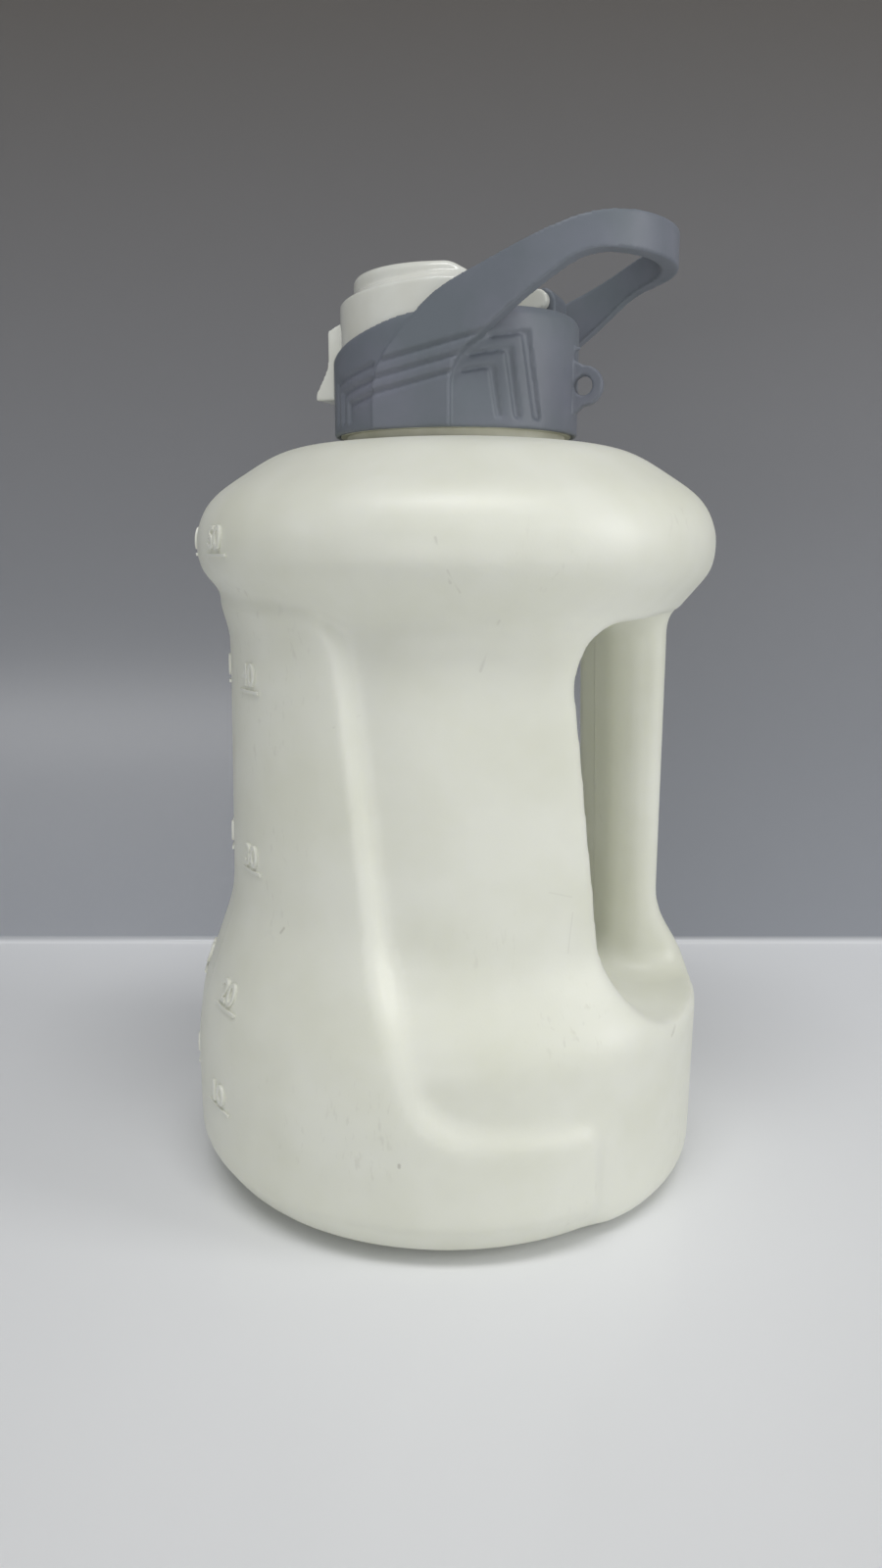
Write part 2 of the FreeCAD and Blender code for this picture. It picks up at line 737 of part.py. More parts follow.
def make_cap_base():
    """The screw cap's rigid core. Only its lower ring shows, under the sleeve."""
    body = new_body("cap_base", on_cap=True)
    foot = ring(body, "ring_circle", "XY_Plane", [cell("ring_radius")])
    between(body, "Pad", "ring_pad", foot, cell("jug_top"), cell("ring_height") + " + 1")
    drum = ring(body, "drum_circle", "XY_Plane", [cell("cap_base_radius")])
    pad = between(body, "Pad", "drum_pad", drum, SLEEVE_BOTTOM,
                  cell("cap_base_height") + " - " + cell("ring_height"))
    body.Tip = pad
    return body


# ---------------------------------------------------------------- sleeve with strap and eyelet

SLEEVE_BOTTOM = cell("jug_top") + " + " + cell("ring_height")
CORE_TOP = cell("cap_top")
BORE_RADIUS = cell("cap_base_radius") + " + " + cell("fit_clearance")
LID_BORE = cell("lid_radius") + " + " + cell("lid_clearance")
STRAP_RISE = cell("strap_tip_top") + " - (" + SLEEVE_BOTTOM + ")"


def strap_band():
    """The strap: a flat loop seen from above, cut to the rising outline seen from the side."""
    plan = new_body("strap_plan")
    outer = cell("strap_half_width")
    inner = cell("strap_half_width") + " - " + cell("strap_thickness")
    centre = cell("strap_reach") + " - " + cell("strap_half_width")
    back = "-1 * " + cell("strap_pad_half")

    disc = ring(plan, "loop_disc", "XY_Plane", [outer], (centre, "0"))
    between(plan, "Pad", "loop_end", disc, SLEEVE_BOTTOM, STRAP_RISE + HALF_OVER)
    arms = polygon(plan, "arm_outline", "XY_Plane", [
        (back, "-1 * " + cell("strap_half_width")), (centre, "-1 * " + cell("strap_half_width")),
        (centre, outer), (back, outer)])
    between(plan, "Pad", "loop_arms", arms, SLEEVE_BOTTOM, STRAP_RISE + HALF_OVER)
    hole = ring(plan, "loop_hole", "XY_Plane", [inner], (centre, "0"))
    between(plan, "Pocket", "loop_hole_cut", hole, SLEEVE_BOTTOM, STRAP_RISE + OVER)
    slot = polygon(plan, "slot_outline", "XY_Plane", [
        (back + " - 5", "-1 * (" + inner + ")"), (centre, "-1 * (" + inner + ")"),
        (centre, inner), (back + " - 5", inner)])
    plan.Tip = between(plan, "Pocket", "slot_cut", slot, SLEEVE_BOTTOM, STRAP_RISE + OVER)

    side = new_body("strap")
    far = cell("strap_reach") + " + 6"
    outline = polygon(side, "strap_outline", "XZ_Plane", [
        (back, SLEEVE_BOTTOM),
        (back, cell("strap_pad_top")),
        (cell("strap_rise_reach"), cell("strap_rise_level")),
        (cell("strap_crest_reach"), cell("strap_crest_level")),
        (far, cell("strap_tip_top")),
        (far, cell("strap_tip_bottom")),
        (cell("strap_belly_reach"), cell("strap_belly_level")),
        (cell("strap_pad_half"), cell("strap_root_level")),
        (cell("strap_pad_half"), SLEEVE_BOTTOM)])
    block = both_ways(side, "Pad", "strap_block", outline, "3 * " + cell("strap_half_width"))
    for name, reach, level, radius in (
            ("pad_round", -size("strap_pad_half"), size("strap_pad_top"), "strap_pad_round"),
            ("rise_round", size("strap_rise_reach"), size("strap_rise_level"), "strap_rise_round"),
            ("crest_round", size("strap_crest_reach"), size("strap_crest_level"), "strap_crest_round"),
            ("belly_round", size("strap_belly_reach"), size("strap_belly_level"), "strap_belly_round"),
            ("root_round", size("strap_pad_half"), size("strap_root_level"), "strap_root_round")):
        block = dress(side, "Fillet", name, block, corner_at(reach, level), cell(radius))
    band = combine(side, "Common", "strap_common", [plan])
    side.Tip = band
    return side


def groove_arches():
    """Strips along three nested arches, kept only where they bite into the sleeve's skin."""
    body = new_body("groove_arches")
    body.AllowCompound = True
    half = cell("groove_width") + " / 2"
    foot = SLEEVE_BOTTOM + " + " + cell("groove_foot")
    for k in range(3):
        left = "-1 * (%s - %d * %s)" % (cell("groove_left"), k, cell("groove_pitch_left"))
        right = "%s - %d * %s" % (cell("groove_right"), k, cell("groove_pitch_right"))
        stand = "%s - %d * %s" % (cell("groove_right_foot"), k, cell("groove_pitch_foot"))
        low = "%s - %d * %s" % (cell("groove_left_level"), k, cell("groove_drop_left"))
        high = "%s - %d * %s" % (cell("groove_right_level"), k, cell("groove_drop_right"))
        outline = polygon(body, "arch_%d" % k, "XZ_Plane", [
            (left + " - " + half, foot), (left + " - " + half, low + " + " + half),
            (right + " + " + half, high + " + " + half), (stand + " + " + half, foot),
            (stand + " - " + half, foot), (right + " - " + half, high + " - " + half),
            (left + " + " + half, low + " - " + half), (left + " + " + half, foot)])
        both_ways(body, "Pad", "arch_strip_%d" % k, outline, "3 * " + cell("sleeve_radius"))
    floor = cell("sleeve_radius") + " - " + cell("groove_depth")
    drum = ring(body, "groove_floor", "XY_Plane", [floor])
    between(body, "Pocket", "groove_floor_cut", drum, SLEEVE_BOTTOM + " - 1",
            "2 * " + cell("cap_base_height"))
    flat = cell("strap_half_width") + " - " + cell("groove_depth")
    pad_half = cell("strap_pad_half")
    root = cell("strap_root_level")
    turn = cell("strap_root_round")
    side = polygon(body, "strap_floor", "XZ_Plane", [
        ("-1 * " + pad_half, SLEEVE_BOTTOM + " - 1"), (pad_half, SLEEVE_BOTTOM + " - 1"),
        (pad_half, root + " - 0.5 * " + turn), (pad_half + " + 0.4 * " + turn, root + " + 0.3 * " + turn),
        (cell("strap_belly_reach"), cell("strap_belly_level")),
        (cell("strap_belly_reach"), cell("strap_crest_level") + OVER),
        ("-1 * " + pad_half, cell("strap_crest_level") + OVER)])
    body.Tip = both_ways(body, "Pocket", "strap_floor_cut", side, "2 * (" + flat + ")")
    return body


def make_sleeve():
    body = new_body("cap_sleeve", on_cap=True)
    bottom = size("jug_top") + size("ring_height")
    drum = ring(body, "sleeve_circle", "XY_Plane", [cell("sleeve_radius")])
    shape = between(body, "Pad", "sleeve_drum", drum, SLEEVE_BOTTOM,
                    cell("sleeve_hinge_level") + " - (" + SLEEVE_BOTTOM + ")" + HALF_OVER)
    wide = cell("sleeve_radius") + " + 3"
    above = polygon(body, "sleeve_top", "XZ_Plane", [
        ("-1 * (" + wide + ")", cell("sleeve_latch_level")),
        ("-1", cell("sleeve_front_level")),
        (wide, cell("sleeve_hinge_level")),
        (wide, cell("sleeve_hinge_level") + OVER),
        ("-1 * (" + wide + ")", cell("sleeve_hinge_level") + OVER)])
    shape = both_ways(body, "Pocket", "sleeve_top_cut", above, "3 * " + cell("sleeve_radius"))
    shape = dress(body, "Fillet", "sleeve_crest", shape, across, cell("sleeve_crest_round"))
    shape = dress(body, "Fillet", "sleeve_rim", shape,
                  lambda e: e.BoundBox.ZMin > bottom + 5 and not across(e)
                  and e.BoundBox.YLength > 5, cell("sleeve_rim_round"))
    shape = combine(body, "Fuse", "sleeve_strap", [strap_band()])

    root = cell("sleeve_radius") + " - " + cell("eyelet_bite")
    eye = polygon(body, "eyelet_root", "XZ_Plane", [
        (root, cell("eyelet_level") + " - " + cell("eyelet_root_down")),
        (cell("eyelet_reach"), cell("eyelet_level") + " - " + cell("eyelet_radius")),
        (cell("eyelet_reach"), cell("eyelet_level") + " + " + cell("eyelet_radius")),
        (root, cell("eyelet_level") + " + " + cell("eyelet_root_up"))])
    both_ways(body, "Pad", "eyelet_web", eye, cell("eyelet_thickness"))
    centre = (cell("eyelet_reach"), cell("eyelet_level"))
    disc = ring(body, "eyelet_disc", "XZ_Plane", [cell("eyelet_radius")], centre)
    both_ways(body, "Pad", "eyelet_pad", disc, cell("eyelet_thickness"))
    hole = ring(body, "eyelet_hole", "XZ_Plane", [cell("eyelet_hole_radius")], centre)
    both_ways(body, "Pocket", "eyelet_cut", hole, "4 * " + cell("eyelet_thickness"))

    root = cell("sleeve_radius") + " - " + cell("nub_bite")
    nub = polygon(body, "nub_outline", "XZ_Plane", [
        (root, cell("nub_level")),
        (cell("nub_reach"), cell("nub_level")),
        (cell("nub_reach"), cell("nub_level") + " + " + cell("nub_tip_radius")),
        (root, cell("nub_level") + " + " + cell("nub_root_radius"))])
    turn = body.newObject("PartDesign::Revolution", "nub")
    turn.Profile = nub
    turn.ReferenceAxis = (nub, ["Edge1"])
    turn.Angle = 360
    doc.recompute()

    hook_outer = cell("pin_radius") + " + " + cell("hook_clearance") + " + " + cell("hook_thickness")
    axis = (cell("pin_reach"), cell("pin_level"))
    hook = ring(body, "hook_disc", "XZ_Plane", [hook_outer], axis)
    both_ways(body, "Pad", "hook", hook, "2 * " + cell("hook_half_width"))
    back = cell("pin_reach") + " + " + hook_outer
    foot = cell("sleeve_hinge_level") + " - " + cell("hook_heel_depth")
    heel = polygon(body, "hook_heel", "XZ_Plane", [
        (cell("pin_reach"), foot), (back, foot),
        (back, cell("pin_level")), (cell("pin_reach"), cell("pin_level"))])
    both_ways(body, "Pad", "hook_stand", heel, "2 * " + cell("hook_half_width"))

    outer_x = cell("pin_reach") + " - " + cell("hook_mouth")
    inner_x = cell("pin_reach") + " - " + cell("hook_lip")
    lower_z = cell("pin_level") + " + " + cell("hook_lip")
    upper_z = cell("pin_level") + " + " + cell("hook_mouth")
    mouth = polygon(body, "hook_mouth_outline", "XZ_Plane", [
        (outer_x, lower_z), (inner_x, lower_z), (inner_x, upper_z), (outer_x, upper_z)])
    both_ways(body, "Pocket", "hook_mouth_cut", mouth, "2 * " + cell("hook_half_width") + " + 1")

    core = ring(body, "core_circle", "XY_Plane", [BORE_RADIUS])
    between(body, "Pocket", "core_bore", core, SLEEVE_BOTTOM + " - 1",
            "1 + " + cell("cap_base_height") + " - " + cell("ring_height") + " + "
            + cell("fit_clearance"))
    lid_seat = new_body("lid_seat")
    circle = ring(lid_seat, "seat_circle", "XY_Plane", [LID_BORE])
    between(lid_seat, "Pad", "seat_drum", circle, CORE_TOP + " - 0.5",
            "2 * " + cell("tool_reach"))
    wall = polygon(lid_seat, "seat_wall", "XZ_Plane", [
        (cell("hinge_wall"), CORE_TOP + " - 5"), (cell("hinge_wall") + OVER, CORE_TOP + " - 5"),
        (cell("hinge_wall") + OVER, CORE_TOP + OVER + OVER + HALF_OVER),
        (cell("hinge_wall"), CORE_TOP + OVER + OVER + HALF_OVER)])
    lid_seat.Tip = both_ways(lid_seat, "Pocket", "seat_flat", wall, "3 * " + cell("sleeve_radius"))
    combine(body, "Cut", "seat_cut", [lid_seat])
    combine(body, "Cut", "groove_cut", [groove_arches()])
    pin_room = ring(body, "pin_room", "XZ_Plane",
                    [cell("pin_radius") + " + " + cell("hook_clearance")], axis)
    body.Tip = both_ways(body, "Pocket", "pin_bore", pin_room, "6 * " + cell("hook_half_width"))
    return body


# ---------------------------------------------------------------- flip lid

def lid_dome():
    """The raised round pad on the latch side of the lid."""
    body = new_body("lid_dome")
    circle = ring(body, "dome_circle", "XY_Plane", [cell("dome_radius")])
    between(body, "Pad", "dome_drum", circle, cell("lid_latch_level") + " - " + cell("dome_bite"),
            cell("dome_bite") + " + " + cell("dome_rise") + HALF_OVER)
    edge = cell("dome_radius") + " + 2"
    above = polygon(body, "dome_top", "XZ_Plane", [
        ("-1 * (" + edge + ")", cell("dome_level")),
        (cell("dome_break"), cell("dome_break_level")),
        (cell("dome_end"), cell("dome_end_level")),
        (cell("dome_end"), cell("lid_latch_level") + " - " + cell("dome_bite") + " - 1"),
        (edge, cell("lid_latch_level") + " - " + cell("dome_bite") + " - 1"),
        (edge, cell("dome_level") + OVER),
        ("-1 * (" + edge + ")", cell("dome_level") + OVER)])
    shape = both_ways(body, "Pocket", "dome_cut", above, "3 * " + cell("dome_radius"))
    shape = dress(body, "Fillet", "dome_bend", shape,
                  corner_at(size("dome_break"), size("dome_break_level")), cell("dome_break_round"))
    low = size("lid_latch_level")
    body.Tip = dress(body, "Fillet", "dome_rim", shape,
                     lambda e: e.BoundBox.ZMin > low and not across(e) and e.BoundBox.XMax < 5
                     or e.BoundBox.ZMin > low + 2 and e.BoundBox.YLength > 5 and not across(e),
                     cell("dome_round"))
    return body


def make_lid():
    body = new_body("flip_lid", on_cap=True)
    circle = ring(body, "lid_circle", "XY_Plane", [cell("lid_radius")])
    shape = between(body, "Pad", "lid_drum", circle, CORE_TOP,
                    cell("lid_crest_level") + " - " + CORE_TOP + HALF_OVER)
    edge = cell("lid_radius") + " + 3"
    above = polygon(body, "lid_top", "XZ_Plane", [
        ("-1 * (" + edge + ")", cell("lid_latch_level")),
        (cell("lid_crest_reach"), cell("lid_crest_level")),
        (edge, cell("lid_hinge_level")),
        (edge, cell("lid_crest_level") + OVER),
        ("-1 * (" + edge + ")", cell("lid_crest_level") + OVER)])
    shape = both_ways(body, "Pocket", "lid_top_cut", above, "3 * " + cell("lid_radius"))
    shape = dress(body, "Fillet", "lid_crest", shape,
                  corner_at(size("lid_crest_reach"), size("lid_crest_level")), cell("lid_crest_round"))
    low = size("cap_top") + 3
    ledge = body.newObject("PartDesign::Chamfer", "lid_ledge")
    ledge.Base = (shape, edge_names(shape, lambda e: e.BoundBox.ZMin > low and not across(e)
                                    and e.BoundBox.YLength > 3))
    ledge.ChamferType = "Two distances"
    ledge.setExpression("Size", cell("ledge_drop"))
    ledge.setExpression("Size2", cell("ledge_width"))
    doc.recompute()
    combine(body, "Fuse", "lid_with_dome", [lid_dome()])

    back = polygon(body, "hinge_notch", "XZ_Plane", [
        (cell("hinge_wall") + " - " + cell("lid_clearance"), CORE_TOP + " - 1"),
        (edge, CORE_TOP + " - 1"), (edge, cell("lid_crest_level") + " + 5"),
        (cell("hinge_wall") + " - " + cell("lid_clearance"), cell("lid_crest_level") + " + 5")])
    both_ways(body, "Pocket", "hinge_notch_cut", back, "3 * " + cell("lid_radius"))

    inner = "-1 * (" + cell("sleeve_radius") + " + " + cell("latch_clearance") + ")"
    outer = inner + " - " + cell("latch_thickness")
    root = cell("latch_bite") + " - " + cell("lid_radius")
    latch = polygon(body, "latch_outline", "XZ_Plane", [
        (inner, cell("latch_bottom")),
        ("-1 * " + cell("latch_lip_reach"), cell("latch_bottom")),
        ("-1 * " + cell("latch_lip_reach"), cell("latch_lip_level")),
        (outer, cell("latch_bend_level")),
        (outer, cell("latch_top") + " - " + cell("latch_bridge")),
        ("-1 * " + cell("lid_radius"), cell("latch_top")),
        (root, cell("latch_top")),
        (root, cell("latch_seat_level")),
        (inner, cell("latch_seat_level"))])
    shape = both_ways(body, "Pad", "latch", latch, "2 * " + cell("latch_half_width"))
    bend = -size("sleeve_radius") - size("latch_clearance") - size("latch_thickness")
    dress(body, "Fillet", "latch_bend", shape,
          corner_at(bend, size("latch_bend_level")), cell("latch_bend_round"))

    axis = (cell("pin_reach"), cell("pin_level"))
    lugs = ring(body, "lug_disc", "XZ_Plane", [cell("lug_radius")], axis)
    both_ways(body, "Pad", "lug_ends", lugs, "2 * " + cell("lug_outer"))
    arm = polygon(body, "lug_arm", "XZ_Plane", [
        (cell("hinge_wall") + " - " + cell("lug_bite"), cell("pin_level") + " - " + cell("lug_radius")),
        (cell("pin_reach"), cell("pin_level") + " - " + cell("lug_radius")),
        (cell("pin_reach"), cell("pin_level") + " + " + cell("lug_radius")),
        (cell("hinge_wall") + " - " + cell("lug_bite"), cell("pin_level") + " + " + cell("lug_radius"))])
    both_ways(body, "Pad", "lug_arms", arm, "2 * " + cell("lug_outer"))
    room = new_body("lug_room")
    near = cell("hinge_wall") + " - " + cell("lid_clearance")
    far = cell("pin_reach") + HALF_OVER
    low = cell("pin_level") + " - 0.3 * " + cell("tool_reach")
    high = cell("pin_level") + " + 0.3 * " + cell("tool_reach")
    slot = polygon(room, "lug_slot", "XZ_Plane", [(near, low), (far, low), (far, high), (near, high)])
    both_ways(room, "Pad", "lug_gap", slot, "2 * " + cell("lug_inner"))
    pin = ring(room, "pin_circle", "XZ_Plane", [cell("pin_radius")], axis)
    room.Tip = both_ways(room, "Pocket", "pin_keep", pin, "4 * " + cell("lug_inner"))
    body.Tip = combine(body, "Cut", "lug_gap_cut", [room])
    return body


# ---------------------------------------------------------------- check and export

def check_document():
    for feature in doc.Objects:
        if "Invalid" in feature.State or "Error" in feature.State:
            raise RuntimeError("%s failed: %s" % (feature.Name, feature.State))


def export(nodes):
    os.makedirs("parts", exist_ok=True)
    for node in nodes:
        shape = node.Shape
        if shape.isNull() or not shape.isValid() or len(shape.Solids) != 1:
            raise RuntimeError("%s is not one sound solid" % node.Label)
    for node in nodes:
        node.Shape.exportStep(os.path.join("parts", node.Label + ".step"))
        print("%-12s %9.1f mm3" % (node.Label, node.Shape.Volume), node.Shape.BoundBox)


nodes = [make_jug(), make_cap_base(), make_sleeve(), make_lid()]
doc.recompute()
check_document()
export(nodes)
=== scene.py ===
import math

import bpy
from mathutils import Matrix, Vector, kdtree
from mathutils.bvhtree import BVHTree


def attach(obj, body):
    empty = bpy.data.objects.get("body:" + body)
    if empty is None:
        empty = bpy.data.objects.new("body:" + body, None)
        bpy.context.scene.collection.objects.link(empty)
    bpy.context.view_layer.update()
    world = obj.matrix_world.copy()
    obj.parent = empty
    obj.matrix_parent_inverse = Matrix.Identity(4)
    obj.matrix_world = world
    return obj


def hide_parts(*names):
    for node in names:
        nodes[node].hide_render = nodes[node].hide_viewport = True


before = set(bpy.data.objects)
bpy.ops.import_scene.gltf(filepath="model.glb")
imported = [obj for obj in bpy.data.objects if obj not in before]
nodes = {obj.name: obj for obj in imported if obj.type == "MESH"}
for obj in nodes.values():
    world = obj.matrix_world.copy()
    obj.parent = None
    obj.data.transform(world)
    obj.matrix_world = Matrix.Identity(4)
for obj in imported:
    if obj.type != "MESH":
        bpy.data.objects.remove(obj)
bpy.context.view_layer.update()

# A half-gallon sports water jug with a grey strap cap and a glossy flip lid.
# The solids come from the frame. Here each gets its soft moulded edges, its marks and its plastic.

mm = 0.001

weldGap = 0.004 * mm   # corners of the frame's triangles nearer than this are one corner
castFrom = 90 * mm     # from the axis: outside every part of the jug
gripRadius = 60 * mm   # the jug's usual radius, for lengths laid round it


# small helpers, used by every piece

def linearColour(code):
    parts = [int(code[i:i + 2], 16) / 255 for i in (1, 3, 5)]
    parts = [p / 12.92 if p <= 0.04045 else ((p + 0.055) / 1.055) ** 2.4 for p in parts]
    return (*parts, 1.0)


# Adds a node with its settings, values and links, and a colour ramp's stops where it has them.
def addNode(tree, kind, inputs=None, stops=(), **settings):
    node = tree.nodes.new(kind)
    for name, value in settings.items():
        setattr(node, name, value)
    for socket, value in (inputs or {}).items():
        if isinstance(value, bpy.types.NodeSocket):
            tree.links.new(value, node.inputs[socket])
        else:
            node.inputs[socket].default_value = value
    for index, (place, colour) in enumerate(stops):
        points = node.color_ramp.elements
        point = points[index] if index < len(points) else points.new(place)
        point.position = place
        point.color = linearColour(colour) if isinstance(colour, str) else (colour, colour, colour, 1)
    return node


def newMaterial(name):
    material = bpy.data.materials.new(name)
    material.use_nodes = True
    material.node_tree.nodes.clear()
    return material, material.node_tree


def pickOnly(*pieces):
    bpy.ops.object.select_all(action="DESELECT")
    for piece in pieces:
        piece.select_set(True)
        bpy.context.view_layer.objects.active = piece


def applyModifier(piece, kind, **settings):
    pickOnly(piece)
    modifier = piece.modifiers.new(kind.title(), kind)
    for name, value in settings.items():
        setattr(modifier, name, value)
    bpy.ops.object.modifier_apply(modifier=modifier.name)


def smoothShade(piece, degrees=None):
    pickOnly(piece)
    if degrees is None:
        bpy.ops.object.shade_smooth()
    else:
        bpy.ops.object.shade_smooth_by_angle(angle=math.radians(degrees))


def dress(piece, material):
    piece.data.materials.clear()
    piece.data.materials.append(material)
    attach(piece, "root")


def surfaceOf(piece):
    return BVHTree.FromObject(piece, bpy.context.evaluated_depsgraph_get())


# The point that shows at a level, seen along a heading, and the way out from the axis there.
# run goes round the surface from the heading; level and run are in millimetres.
def pointOn(surface, heading, run, level):
    turn = math.radians(heading) + run * mm / gripRadius
    out = Vector((math.cos(turn), math.sin(turn), 0))
    start = out * castFrom + Vector((0, 0, level * mm))
    return surface.ray_cast(start, -out)[0], out


# materials: each has its sizes in millimetres, and its stops as shares of a noise's range

scuffs = {
    "core": 0.2,   # share of its half width that is at full strength
    "lines": [     # heading in degrees, level, length, lean from upright, half width, strength
        (249, 151, 9, -18, 0.45, 0.35), (251, 147, 5, -30, 0.35, 0.25), (259, 134, 11, 22, 0.5, 0.28),
        (208, 70, 1.6, 40, 0.5, 0.6), (278, 80, 7, -75, 0.25, 0.2), (281, 71, 9, 8, 0.3, 0.2),
        (241, 26, 0.5, 0, 0.55, 0.75), (308, 44, 4, 60, 0.7, 0.4), (226, 118, 6, 65, 0.3, 0.2),
    ],
}


# Hairline scuffs where the jug has been knocked, each along a short line laid on its skin.
def addScuffs(tree, place, base):
    surface = surfaceOf(nodes["jug"])
    total = base
    for heading, level, length, lean, width, strength in scuffs["lines"]:
        ends = []
        for side in (-0.5, 0.5):
            rise = side * length * math.cos(math.radians(lean))
            run = side * length * math.sin(math.radians(lean))
            ends.append(pointOn(surface, heading, run, level + rise)[0])
        line = ends[1] - ends[0]
        away = addNode(tree, "ShaderNodeVectorMath", {0: place, 1: ends[0]}, operation="SUBTRACT")
        along = addNode(tree, "ShaderNodeVectorMath", {
            0: away.outputs["Vector"], 1: line / line.length_squared}, operation="DOT_PRODUCT")
        share = addNode(tree, "ShaderNodeClamp", {"Value": along.outputs["Value"]})
        foot = addNode(tree, "ShaderNodeVectorMath", {
            0: line, "Scale": share.outputs["Result"]}, operation="SCALE")
        gap = addNode(tree, "ShaderNodeVectorMath", {
            0: away.outputs["Vector"], 1: foot.outputs["Vector"]}, operation="DISTANCE")
        mark = addNode(tree, "ShaderNodeMapRange", {
            "Value": gap.outputs["Value"], "From Min": scuffs["core"] * width * mm,
            "From Max": width * mm, "To Min": strength, "To Max": 0.0}, interpolation_type="SMOOTHSTEP")
        total = addNode(tree, "ShaderNodeMath", {0: total, 1: mark.outputs["Result"]},
                        operation="MAXIMUM").outputs["Value"]
    return total


jugPlastic = {
    "body": "#E8E9DD", "thin": "#E1E2D3", "waveSize": 22, "waveStops": (0.3, 0.62),
    "smudge": "#BDBBAE", "rubStrength": 0.22, "patchSize": 34, "patchStops": (0.56, 0.68),
    "streakSize": 1.3, "streakStops": (0.6, 0.72),
    "streakTurn": (0.9, 0.5, 0.3), "streakStretch": (1.0, 0.7, 0.3),
    "roughness": (0.34, 0.5), "grainSize": 0.55, "grainDepth": 0.02,
    "swellSize": 9, "swellDepth": 0.10, "seamWidth": 0.5, "seamDepth": 0.25, "scatter": 5,
}


def makeJugPlastic():
    # Blow-moulded HDPE, unpigmented: milky and faintly green, satin, with a fine orange peel,
    # a thin mould seam round the plane of the handle and grey rub marks where it has been handled.
    how = jugPlastic
    material, tree = newMaterial("HDPE blow-moulded")
    place = addNode(tree, "ShaderNodeTexCoord").outputs["Object"]
    cloud = addNode(tree, "ShaderNodeTexNoise", {
        "Vector": place, "Scale": 1 / (how["waveSize"] * mm), "Detail": 3.0})
    milk = addNode(tree, "ShaderNodeValToRGB", {"Fac": cloud.outputs["Fac"]}, stops=[
        (how["waveStops"][0], how["thin"]), (how["waveStops"][1], how["body"])])
    # faint dry rubbing: a broad patchy noise, broken by a finer one
    patch = addNode(tree, "ShaderNodeTexNoise", {
        "Vector": place, "Scale": 1 / (how["patchSize"] * mm), "Detail": 2.0})
    streakPlace = addNode(tree, "ShaderNodeMapping", {
        "Vector": place, "Rotation": how["streakTurn"], "Scale": how["streakStretch"]})
    streak = addNode(tree, "ShaderNodeTexNoise", {
        "Vector": streakPlace.outputs["Vector"], "Scale": 1 / (how["streakSize"] * mm), "Detail": 2.0})
    where = addNode(tree, "ShaderNodeValToRGB", {"Fac": patch.outputs["Fac"]}, stops=[
        (how["patchStops"][0], 0.0), (how["patchStops"][1], 1.0)])
    which = addNode(tree, "ShaderNodeValToRGB", {"Fac": streak.outputs["Fac"]}, stops=[
        (how["streakStops"][0], 0.0), (how["streakStops"][1], 1.0)])
    rub = addNode(tree, "ShaderNodeMath", {0: where.outputs["Color"], 1: which.outputs["Color"]},
                  operation="MULTIPLY")
    faint = addNode(tree, "ShaderNodeMath", {0: rub.outputs["Value"], 1: how["rubStrength"]},
                    operation="MULTIPLY")
    colour = addNode(tree, "ShaderNodeMix", {
        0: addScuffs(tree, place, faint.outputs["Value"]), 6: milk.outputs["Color"],
        7: linearColour(how["smudge"])}, data_type="RGBA", clamp_factor=True)
    sheen = addNode(tree, "ShaderNodeMapRange", {
        "Value": patch.outputs["Fac"], "To Min": how["roughness"][0], "To Max": how["roughness"][1]})
    # the orange peel is a slow swell under a fine grain
    grain = addNode(tree, "ShaderNodeTexNoise", {
        "Vector": place, "Scale": 1 / (how["grainSize"] * mm), "Detail": 1.0})
    swell = addNode(tree, "ShaderNodeTexNoise", {
        "Vector": place, "Scale": 1 / (how["swellSize"] * mm), "Detail": 1.0})
    peel = addNode(tree, "ShaderNodeBump", {
        "Height": swell.outputs["Fac"], "Distance": how["swellDepth"] * mm, "Strength": 0.35})
    bump = addNode(tree, "ShaderNodeBump", {
        "Height": grain.outputs["Fac"], "Distance": how["grainDepth"] * mm, "Strength": 0.5,
        "Normal": peel.outputs["Normal"]})
    # the seam stands where the two mould halves met, at Y = 0
    across = addNode(tree, "ShaderNodeSeparateXYZ", {"Vector": place})
    aside = addNode(tree, "ShaderNodeMath", {0: across.outputs["Y"]}, operation="ABSOLUTE")
    ridge = addNode(tree, "ShaderNodeMapRange", {
        "Value": aside.outputs["Value"], "From Max": how["seamWidth"] * mm,
        "To Min": 1.0, "To Max": 0.0}, interpolation_type="SMOOTHSTEP")
    seam = addNode(tree, "ShaderNodeBump", {
        "Height": ridge.outputs["Result"], "Distance": how["seamDepth"] * mm, "Strength": 0.8,
        "Normal": bump.outputs["Normal"]})
    shader = addNode(tree, "ShaderNodeBsdfPrincipled", {
        "Base Color": colour.outputs[2], "Roughness": sheen.outputs["Result"],
        "Normal": seam.outputs["Normal"], "IOR": 1.54, "Subsurface Weight": 0.22,
        "Subsurface Radius": (1.0, 1.0, 0.75), "Subsurface Scale": how["scatter"] * mm})
    addNode(tree, "ShaderNodeOutputMaterial", {"Surface": shader.outputs["BSDF"]})
    return material


sleevePlastic = {
    "body": "#697077", "worn": "#767984", "wearSize": 16, "wearStops": (0.35, 0.75),
    "roughness": (0.42, 0.56), "sheenStops": (0.3, 0.7), "grainSize": 0.4, "grainDepth": 0.02,
}


